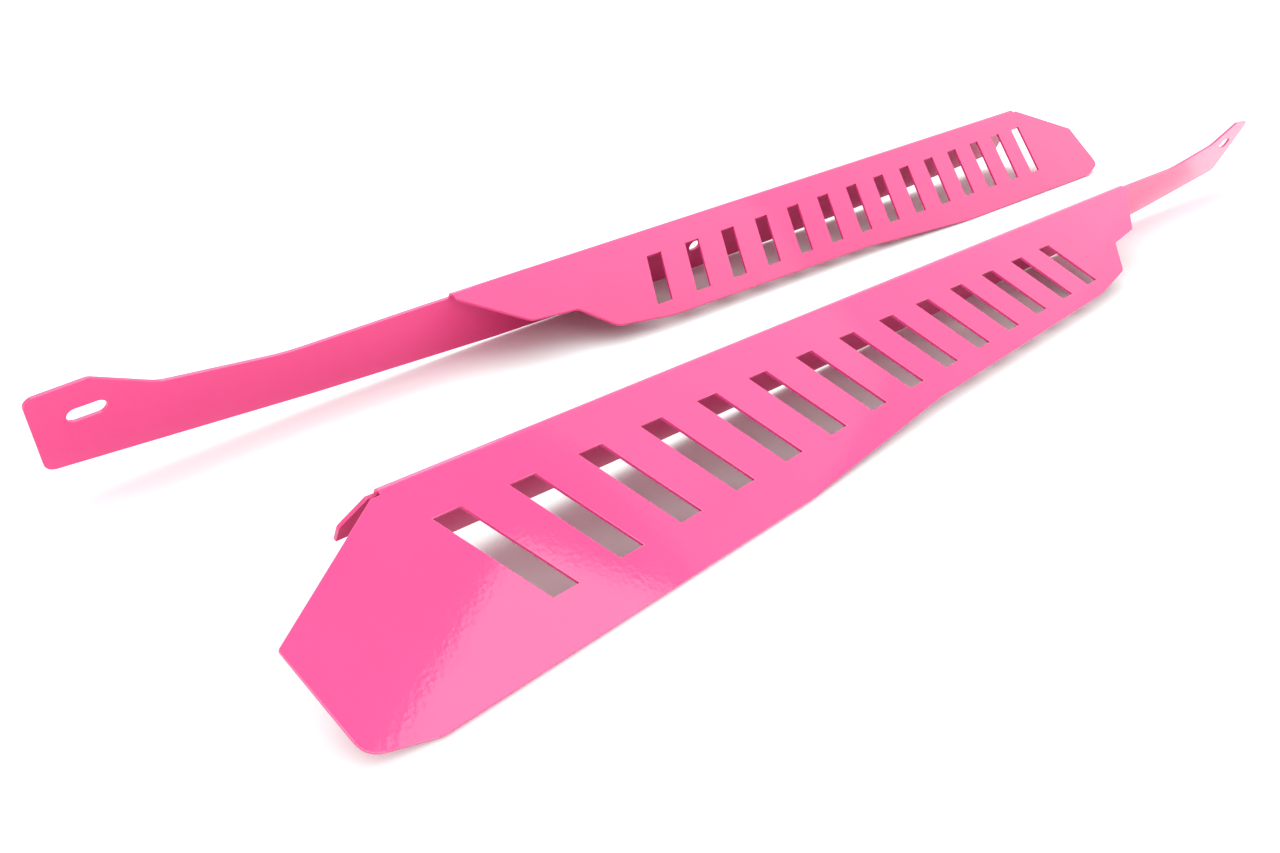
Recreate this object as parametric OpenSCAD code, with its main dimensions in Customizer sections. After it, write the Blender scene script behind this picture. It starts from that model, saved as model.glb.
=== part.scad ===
// Mirrored pair of folded, slotted sheet-metal vent panels.
// Each panel is one laser-cut and folded sheet: a slotted top face, a flange
// folded back under it along the long straight edge, and a strap that carries
// on past the narrow end of the flange to a mounting ear.
// Both panels stand on the z = 0 plane on their front edge and flange edge.

/* [Sheet] */
// Thickness of the steel sheet (mm)
sheet = 1.5; // [1.2:0.1:2.0]
// Inside radius of the long fold (mm)
bend_inner = 1.0; // [0.6:0.1:1.6]
// Angle between the slotted face and the flange (degrees)
flange_angle = 75; // [72:1:80]

/* [Slots] */
// Number of slots in the row
slot_count = 14; // [8:1:14]
// Distance from one slot to the next along the fold (mm)
slot_pitch = 30; // [29:0.5:30]
// Width of one slot measured along the fold (mm)
slot_width = 11; // [8:0.5:14]
// Lean of the slots away from square to the fold (degrees)
slot_lean = 27.6; // [20:0.2:30]
// Distance from the fold line to the near ends of the slots (mm)
slot_start = 17.6; // [15:0.2:22]
// Distance from the fold line to the far ends, at the first slot (mm)
slot_end = 47; // [38:0.5:48]
// Growth of the far end distance per millimetre along the row
slot_taper = 0.0263; // [0:0.0005:0.03]

/* [Mounting ear] */
// Length of the elongated hole in the ear, end to end (mm)
ear_hole_length = 15.5; // [10:0.5:18]
// Width of the elongated hole in the ear (mm)
ear_hole_width = 6.8; // [5:0.1:8.5]

/* [Flange] */
// Length of the small elongated hole in the flange, end to end (mm)
flange_hole_length = 9; // [8.5:0.5:12]
// Width of the small elongated hole in the flange (mm)
flange_hole_width = 6.6; // [5:0.1:8]
// Half width of the open notch in the wide end of the flange (mm)
notch_radius = 4.4; // [3:0.2:4.6]

/* [Layout of the pair] */
// Distance between the two fold lines, across (mm)
pair_gap = 151.6; // [130:0.1:220]
// Offset of the right panel along the row (mm)
pair_shift = 142.5; // [100:0.5:180]
// Turn of the right panel relative to lying parallel (degrees)
pair_twist = 0.66; // [-2:0.02:2]

/* [Hidden] */
$fn = 48;
bend_outer = bend_inner + sheet;
// distance from the sharp fold line to where both flat faces start
setback = bend_outer / tan(flange_angle / 2);
// flat stretch beside the fold that laps into both plates
lap = 1.6;
plate_start = setback + lap / 2;
fold_tail = -124;
fold_head = 405.5;

// ---------- small helpers ----------
function unit(v) = v / norm(v);
function turn(v, a) = [v.x * cos(a) - v.y * sin(a), v.x * sin(a) + v.y * cos(a)];
// replaces the corner p of a path by an arc of radius r between its two sides
function corner_arc(a, p, b, r, n) =
    r <= 0 ? [p] :
    let (u = unit(a - p), v = unit(b - p),
         half = acos(max(-1, min(1, u * v))) / 2,
         reach = r / tan(half),
         side = sign(u.x * v.y - u.y * v.x),
         first = p + u * reach,
         centre = p + unit(u + v) * (r / sin(half)),
         sweep = 180 - 2 * half)
    [for (k = [0:n]) centre + turn(first - centre, -side * sweep * k / n)];
// a closed path of [x, y, corner radius] entries
function rounded(path, n = 6) =
    let (m = len(path))
    [for (i = [0:m - 1])
        let (a = path[(i + m - 1) % m], p = path[i], b = path[(i + 1) % m])
        each corner_arc([a.x, a.y], [p.x, p.y], [b.x, b.y], p[2], n)];

// ---------- outlines, x along the fold, y away from it ----------
front_near = [258, 71.2];
front_head = [428, 76];
face_path = [
    [fold_tail - 2, plate_start, 0], [-94, 29.8, 7], [-66, 32.8, 4],
    [-51, 49, 8], [-15, 55, 60], [153, 61, 90],
    [front_near.x, front_near.y, 90], [front_head.x, front_head.y, 14],
    [449.5, 70.4, 8], [455.3, 33.6, 1],
    [fold_head + (plate_start - 1.7) / 0.637, plate_start, 0]];

// lower edge of the flange, a very flat arc
edge_radius = 6500;
edge_deep = 45.6;
edge_mid = 150;
edge_from = -90;
edge_to = 410;
edge_steps = 24;
function edge_depth(u) = edge_deep - edge_radius
    + sqrt(edge_radius * edge_radius - (u - edge_mid) * (u - edge_mid));
edge_points = [for (k = [0:edge_steps])
    let (u = edge_from + (edge_to - edge_from) * k / edge_steps) [u, edge_depth(u)]];

flange_path = concat(
    [[fold_head + plate_start - 1, plate_start, 0], [417.4, 12.6, 2], [418, 20, 0],
     [415.9, 26, 0], [415.6, 31, 2], [414.7, 37.2, 2.5]],
    [for (k = [edge_steps:-1:0]) [edge_points[k].x, edge_points[k].y, 0]],
    [[-196, 34.8, 120], [-311.8, 25.4, 5], [-316.4, -13.8, 4.5], [-292, -15.6, 3],
     [-266, -2.4, 18], [-210, setback + 1.8, 120], [-140, plate_start, 0]]);

ear_hole_at = [-294, 0.6];
ear_hole_turn = -2.5;
flange_hole_at = [57, 26.3];
notch_at = [412.2, 22.8];

// ---------- resting attitude ----------
// The panel rests on the straight stretch of its front edge and on the lowest
// point of the flange edge; the tilt follows from those two contacts.
axis_dir = unit(front_head - front_near);
axis_turn = atan2(axis_dir.y, axis_dir.x);
function lean_of(p) =
    let (y = p.y * cos(flange_angle) + sheet * sin(flange_angle),
         z = -p.y * sin(flange_angle) + sheet * cos(flange_angle) + sheet,
         w = [p.x, y] - front_near,
         across = w.x * axis_dir.y - w.y * axis_dir.x)
    atan2(-z, across);
tilt = max([for (p = edge_points) lean_of(p)]);
level_turn = atan(tan(axis_turn) * cos(tilt));
// where the fold line's zero station ends up after tilting and turning
rel = turn(-front_near, -axis_turn);
rel_z = sheet;
tilted = [rel.x, rel.y * cos(tilt) + rel_z * sin(tilt)];
zero_at = turn(tilted, level_turn);

// offsets that centre the pair over the origin
centre_x = -71.27;
centre_y = 98.95;

// ---------- one panel, flat face up, fold along x ----------
module slot_shape(i) {
    near_x = i * slot_pitch;
    // far end sits on a line that moves out with the row
    far_y = (slot_end + slot_taper * (near_x + slot_start * tan(slot_lean)))
            / (1 + slot_taper * tan(slot_lean));
    shift = -(far_y - slot_start) * tan(slot_lean);
    rise = slot_taper * slot_width / 2;
    polygon([
        [near_x - slot_width / 2, slot_start],
        [near_x + slot_width / 2, slot_start],
        [near_x + slot_width / 2 + shift, far_y + rise],
        [near_x - slot_width / 2 + shift, far_y - rise]]);
}

module slotted_face() {
    translate([0, 0, -sheet])
    linear_extrude(sheet)
    difference() {
        polygon(rounded(face_path));
        for (i = [0:slot_count - 1]) slot_shape(i);
    }
}

// the fold, with short flat stretches that lap into the face and the flange
module long_fold() {
    centre = [setback, -bend_outer];
    bend = 180 - flange_angle;
    steps = 12;
    along = [cos(flange_angle), -sin(flange_angle)] * lap;
    function on_arc(r, a) = centre + r * [-sin(a), cos(a)];
    translate([fold_tail - 3, 0, 0]) rotate([90, 0, 90])
    linear_extrude(fold_head - fold_tail + 3)
    polygon(concat(
        [[setback + lap, 0]],
        [for (k = [0:steps]) on_arc(bend_outer, bend * k / steps)],
        [on_arc(bend_outer, bend) + along, on_arc(bend_inner, bend) + along],
        [for (k = [steps:-1:0]) on_arc(bend_inner, bend * k / steps)],
        [[setback + lap, -sheet]]));
}

module long_hole(at, length, width, direction) {
    half = (length - width) / 2;
    translate([at.x, at.y, -1]) rotate([0, 0, direction]) {
        for (s = [-1, 1])
            translate([s * half, 0, 0]) cylinder(d = width, h = sheet + 2);
        translate([-half, -width / 2, 0]) cube([2 * half, width, sheet + 2]);
    }
}

module flange_and_strap() {
    rotate([-flange_angle, 0, 0])
    difference() {
        linear_extrude(sheet) polygon(rounded(flange_path));
        long_hole(ear_hole_at, ear_hole_length, ear_hole_width, ear_hole_turn);
        long_hole(flange_hole_at, flange_hole_length, flange_hole_width, 0);
        translate([notch_at.x, notch_at.y, -1]) {
            cylinder(r = notch_radius, h = sheet + 2);
            translate([0, -notch_radius, 0]) cube([12, 2 * notch_radius, sheet + 2]);
        }
    }
}

module folded_panel() {
    difference() {
        union() {
            slotted_face();
            long_fold();
        }
        // the fold ends square where the strap leaves it
        translate([fold_tail - 6, -6, -14]) cube([6, setback + lap + 8, 15]);
    }
    flange_and_strap();
}

// the panel standing on z = 0 with its fold line running along x
module standing_panel() {
    translate([-zero_at.x, -zero_at.y, 0])
    rotate([0, 0, level_turn])
    rotate([-tilt, 0, 0])
    rotate([0, 0, -axis_turn])
    translate([-front_near.x, -front_near.y, sheet])
    folded_panel();
}

module left_panel() {
    color([1.0, 0.30, 0.55])
    translate([centre_x, centre_y, 0])
    mirror([0, 1, 0]) standing_panel();
}

module right_panel() {
    color([1.0, 0.30, 0.55])
    translate([centre_x + pair_shift, centre_y - pair_gap, 0])
    rotate([0, 0, 180 + pair_twist]) standing_panel();
}

/* [Nodes] */

left_panel();
right_panel();
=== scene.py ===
"""A mirrored pair of folded, slotted sheet-metal vent panels in gloss pink powder coat.

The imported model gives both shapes. Each panel shows a copy of its own node. The
bevel on its cut edges is held back by the mesh's shortest edges, and stays well
under EDGE_ROUND: about 0.17 mm on the right panel, and almost none on the left.
"""
import math
import bmesh
import bpy
from mathutils import Matrix, Vector


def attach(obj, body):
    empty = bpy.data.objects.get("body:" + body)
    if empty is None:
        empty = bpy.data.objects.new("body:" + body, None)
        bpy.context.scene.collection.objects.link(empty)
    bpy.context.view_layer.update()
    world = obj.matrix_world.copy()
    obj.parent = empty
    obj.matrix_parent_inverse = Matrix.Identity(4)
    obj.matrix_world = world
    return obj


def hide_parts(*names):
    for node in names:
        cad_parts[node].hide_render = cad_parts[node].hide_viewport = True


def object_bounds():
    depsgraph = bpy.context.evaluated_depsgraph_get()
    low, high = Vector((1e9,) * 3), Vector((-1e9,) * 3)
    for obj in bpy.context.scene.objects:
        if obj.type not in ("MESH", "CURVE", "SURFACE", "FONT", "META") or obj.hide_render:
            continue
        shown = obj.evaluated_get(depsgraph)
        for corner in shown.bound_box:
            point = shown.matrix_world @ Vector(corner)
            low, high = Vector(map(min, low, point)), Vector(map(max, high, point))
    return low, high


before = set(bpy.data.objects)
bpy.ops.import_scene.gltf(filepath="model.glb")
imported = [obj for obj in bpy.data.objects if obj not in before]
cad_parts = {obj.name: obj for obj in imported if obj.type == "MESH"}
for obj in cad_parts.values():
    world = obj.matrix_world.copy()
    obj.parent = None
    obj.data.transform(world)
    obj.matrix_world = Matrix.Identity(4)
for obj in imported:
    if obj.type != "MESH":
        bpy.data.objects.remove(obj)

MM = 0.001
cad_low, cad_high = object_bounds()
centre = (cad_low + cad_high) / 2
ground = Vector((centre.x, centre.y, cad_low.z))

# ---------- the look of the coat ----------
PINK = (0.65, 0.0435, 0.189, 1.0)
PINK_DEEP = (0.63, 0.0395, 0.178, 1.0)
# painted sheen: a paler pink for the bevelled cut edges, standing in for the light they catch
PINK_EDGE_SHEEN = (0.74, 0.17, 0.34, 1.0)
EDGE_ROUND = 0.28 * MM      # the most that a cut edge may be bevelled
EDGE_STEPS = 3
CORNER = math.radians(40)   # a sharper turn than this is a cut edge
WELD = 0.01 * MM            # points closer than this are one point
FLAT = math.radians(0.4)    # faces that turn less than this are one face
EDGE_SHEEN = 0.8             # how much of the painted edge sheen, a paler pink, shows on a cut edge
CLOUD_SIZE = 45 * MM        # size of the clouds in the tint
GLOSS_SIZE = 9 * MM         # size of the patches of more and less gloss
ROUGH_LOW, ROUGH_HIGH = 0.05, 0.08
COAT_IOR = 1.5
PEEL_SIZE = 1.6 * MM        # spacing of the orange peel
PEEL_DEPTH = 0.015 * MM
WAVE_SIZE = 70 * MM         # slow waviness of the sheet
WAVE_DEPTH = 0.05 * MM

# ---------- the studio ----------
FLOOR_SHADE = (0.79, 0.83, 0.815, 1.0)
FLOOR_LIGHT = (0.81, 0.85, 0.835, 1.0)
FLOOR_PATCH = 0.25           # size of the faint clouds on the floor, metres
FLOOR_REACH = 30             # half the floor, in lengths of the pair
SURROUND = 1.4               # brightness of the surround
SLANT = 34.7                 # turn of the overhead softboxes, degrees

# ---------- the view ----------
VIEW_FROM = Vector((-0.4787, -0.3247, 0.2063))   # from the ground point below the pair
VIEW_TURN, VIEW_DROP, VIEW_ROLL = 43.80, 25.86, -1.87   # degrees
LENS, SENSOR = 30.97, 36.0   # mm


def node_tree(name):
    """A new material with an empty node tree, and a short way to add nodes."""
    made = bpy.data.materials.new(name)
    made.use_nodes = True
    tree = made.node_tree
    tree.nodes.clear()
    return made, tree


def add(tree, kind, **values):
    """Adds a node; each value sets an input of that name, or an attribute of the node."""
    node = tree.nodes.new(kind)
    for key, value in values.items():
        name = key.replace("_", " ")
        if name in node.inputs:
            node.inputs[name].default_value = value
        else:
            setattr(node, key, value)
    return node


def noise(tree, where, size, detail=2.0, rough=0.5):
    """Noise whose patches are about `size` metres across."""
    made = add(tree, "ShaderNodeTexNoise", Scale=1.0 / size, Detail=detail, Roughness=rough)
    tree.links.new(where, made.inputs["Vector"])
    return made.outputs["Fac"]


def spread(tree, value, low, high, to_low, to_high):
    """Maps a value from one range to another."""
    made = tree.nodes.new("ShaderNodeMapRange")
    tree.links.new(value, made.inputs["Value"])
    for name, number in (("From Min", low), ("From Max", high), ("To Min", to_low), ("To Max", to_high)):
        made.inputs[name].default_value = number
    return made.outputs["Result"]


def mixed(tree, amount, first, second):
    """A colour between two colours or colour outputs."""
    made = tree.nodes.new("ShaderNodeMix")
    made.data_type = "RGBA"
    tree.links.new(amount, made.inputs["Factor"])
    for name, colour in (("A", first), ("B", second)):
        socket = [s for s in made.inputs if s.name == name and s.type == "RGBA"][0]
        if isinstance(colour, tuple):
            socket.default_value = colour
        else:
            tree.links.new(colour, socket)
    return [s for s in made.outputs if s.type == "RGBA"][0]


def bumped(tree, height, distance, before=None):
    """A normal bumped by a height from 0 to 1, `distance` metres deep."""
    made = add(tree, "ShaderNodeBump", Strength=1.0, Distance=distance)
    tree.links.new(height, made.inputs["Height"])
    if before is not None:
        tree.links.new(before, made.inputs["Normal"])
    return made.outputs["Normal"]


def powder_coat(name, offset):
    """Gloss powder coat: orange peel, a slow waviness, and a painted sheen on the bevel, a paler pink
    that stands in for light caught by the cut edges.
    """
    made, tree = node_tree(name)
    place = add(tree, "ShaderNodeTexCoord").outputs["Object"]
    shift = add(tree, "ShaderNodeMapping", Location=offset)
    tree.links.new(place, shift.inputs["Vector"])
    where = shift.outputs["Vector"]
    cloud = spread(tree, noise(tree, where, CLOUD_SIZE, 3.0), 0.3, 0.7, 0.0, 1.0)
    colour = mixed(tree, cloud, PINK, PINK_DEEP)
    # painted sheen: the bevel gets the paler pink, standing in for light caught by the cut edges
    edge = add(tree, "ShaderNodeAttribute", attribute_name="edge_sheen").outputs["Fac"]
    colour = mixed(tree, spread(tree, edge, 0.0, 1.0, 0.0, EDGE_SHEEN), colour, PINK_EDGE_SHEEN)
    peel = noise(tree, where, PEEL_SIZE, 1.0)
    wave = noise(tree, where, WAVE_SIZE, 1.0)
    normal = bumped(tree, wave, WAVE_DEPTH)
    normal = bumped(tree, peel, PEEL_DEPTH, normal)
    gloss = spread(tree, noise(tree, where, GLOSS_SIZE, 4.0), 0.3, 0.7, ROUGH_LOW, ROUGH_HIGH)
    shader = add(tree, "ShaderNodeBsdfPrincipled", IOR=COAT_IOR)
    tree.links.new(colour, shader.inputs["Base Color"])
    tree.links.new(gloss, shader.inputs["Roughness"])
    tree.links.new(normal, shader.inputs["Normal"])
    out = tree.nodes.new("ShaderNodeOutputMaterial")
    tree.links.new(shader.outputs["BSDF"], out.inputs["Surface"])
    return made


def rounded_sheet(mesh):
    """Bevels the cut edges as far as clamp_overlap lets it; a loop layer set to 1 marks the bevel, which
    gets the painted edge sheen.
    """
    work = bmesh.new()
    work.from_mesh(mesh)
    bmesh.ops.remove_doubles(work, verts=work.verts, dist=WELD)
    bmesh.ops.dissolve_degenerate(work, edges=work.edges, dist=WELD)
    bmesh.ops.dissolve_limit(work, angle_limit=FLAT, verts=work.verts, edges=work.edges)
    sharp = [e for e in work.edges if len(e.link_faces) == 2 and e.calc_face_angle(0.0) > CORNER]
    rounded = bmesh.ops.bevel(work, geom=sharp, offset=EDGE_ROUND, offset_type="OFFSET",
                              segments=EDGE_STEPS, profile=0.5, affect="EDGES",
                              clamp_overlap=True, harden_normals=False)
    bmesh.ops.triangulate(work, faces=work.faces, quad_method="BEAUTY", ngon_method="BEAUTY")
    # this layer is 1 on the bevel, where the painted edge sheen goes
    edge = work.loops.layers.float.new("edge_sheen")
    for face in work.faces:
        face.smooth = True
        for loop in face.loops:
            loop[edge] = 0.0
    for face in rounded["faces"]:
        if face.is_valid:
            for loop in face.loops:
                loop[edge] = 1.0
    work.to_mesh(mesh)
    work.free()


def coated_sheet(node, offset):
    """The panel as its node has it, with a slight bevel on its cut edges."""
    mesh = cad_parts[node].data.copy()
    mesh.name = node + "_sheet"
    rounded_sheet(mesh)
    mesh.materials.clear()
    piece = bpy.data.objects.new(node + "_coated", mesh)
    bpy.context.scene.collection.objects.link(piece)
    piece.data.materials.append(powder_coat(node + "_powder_coat", offset))
    even = piece.modifiers.new("even_shading", "WEIGHTED_NORMAL")
    even.mode = "FACE_AREA_WITH_ANGLE"
    even.weight = 100
    even.keep_sharp = False
    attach(piece, "root")
    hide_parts(node)
    return piece


def studio_floor():
    """A plain white floor, large enough for every view."""
    reach = FLOOR_REACH * (cad_high - cad_low).length
    mesh = bpy.data.meshes.new("studio_floor")
    signs = ((-1, -1), (1, -1), (1, 1), (-1, 1))
    corners = [ground + Vector((x * reach, y * reach, 0)) for x, y in signs]
    mesh.from_pydata(corners, [], [(0, 1, 2, 3)])
    floor = bpy.data.objects.new("studio_floor", mesh)
    bpy.context.scene.collection.objects.link(floor)
    made, tree = node_tree("studio_floor_white")
    place = add(tree, "ShaderNodeTexCoord").outputs["Object"]
    colour = mixed(tree, noise(tree, place, FLOOR_PATCH), FLOOR_SHADE, FLOOR_LIGHT)
    shader = add(tree, "ShaderNodeBsdfPrincipled", Roughness=0.75, IOR=1.3)
    tree.links.new(colour, shader.inputs["Base Color"])
    out = tree.nodes.new("ShaderNodeOutputMaterial")
    tree.links.new(shader.outputs["BSDF"], out.inputs["Surface"])
    floor.data.materials.append(made)


def soft_light(name, place, size, glow, aim=None, turn=0.0, tilt=0.0):
    """A rectangular softbox; glow is its brightness, where the white floor is about 1.
    It faces the aim, or else hangs level, turned and tilted by some degrees."""
    light = bpy.data.lights.new(name, "AREA")
    light.shape = "RECTANGLE"
    light.size, light.size_y = size
    light.energy = glow * math.pi * size[0] * size[1]
    lamp = bpy.data.objects.new(name, light)
    lamp.location = ground + Vector(place)
    lamp.rotation_mode = "QUATERNION"
    if aim is None:
        lamp.rotation_quaternion = (Matrix.Rotation(math.radians(tilt), 3, "X")
                                    @ Matrix.Rotation(math.radians(turn), 3, "Z")).to_quaternion()
    else:
        lamp.rotation_quaternion = (aim - lamp.location).to_track_quat("-Z", "Y")
    bpy.context.scene.collection.objects.link(lamp)
    return lamp


def studio_light():
    """An even pale surround, with softboxes behind, overhead to the right, and in front."""
    world = bpy.data.worlds.new("studio")
    bpy.context.scene.world = world
    world.use_nodes = True
    back = world.node_tree.nodes["Background"]
    back.inputs["Color"].default_value = (1.0, 1.0, 1.0, 1.0)
    back.inputs["Strength"].default_value = SURROUND
    soft_light("key_behind", (0.0, 1.0, 1.3), (1.6, 1.2), 2.2, ground)
    soft_light("overhead_right", (1.55, 0.10, 1.2), (2.2, 2.6), 0.15, turn=SLANT)
    soft_light("overhead_near", (0.97, -0.29, 1.19), (0.7, 1.3), 0.6, turn=SLANT)
    soft_light("front_corner", (0.568, -0.992, 1.366), (0.62, 0.62), 2.9, turn=52.0, tilt=-22.5)
    soft_light("low_fill", (-0.35, -1.30, 0.45), (1.4, 0.7), 2.4, ground)


def camera():
    """The photograph's viewing angle, with a plain lens."""
    lens = bpy.data.cameras.new("camera")
    lens.lens, lens.sensor_width, lens.sensor_fit = LENS, SENSOR, "HORIZONTAL"
    lens.clip_start, lens.clip_end = 0.01, 100
    made = bpy.data.objects.new("camera", lens)
    turn, drop = math.radians(VIEW_TURN), math.radians(VIEW_DROP)
    ahead = Vector((math.sin(turn) * math.cos(drop), math.cos(turn) * math.cos(drop), -math.sin(drop)))
    made.rotation_mode = "QUATERNION"
    made.rotation_quaternion = (ahead.to_track_quat("-Z", "Y")
                                @ Matrix.Rotation(math.radians(VIEW_ROLL), 3, "Z").to_quaternion())
    made.location = ground + VIEW_FROM
    bpy.context.scene.collection.objects.link(made)
    bpy.context.scene.camera = made


bpy.context.scene.view_settings.view_transform = "Standard"
studio_floor()
studio_light()
camera()
coated_sheet("left_panel", (0.0, 0.0, 0.0))
coated_sheet("right_panel", (0.37, 0.21, 0.13))

bpy.context.view_layer.update()
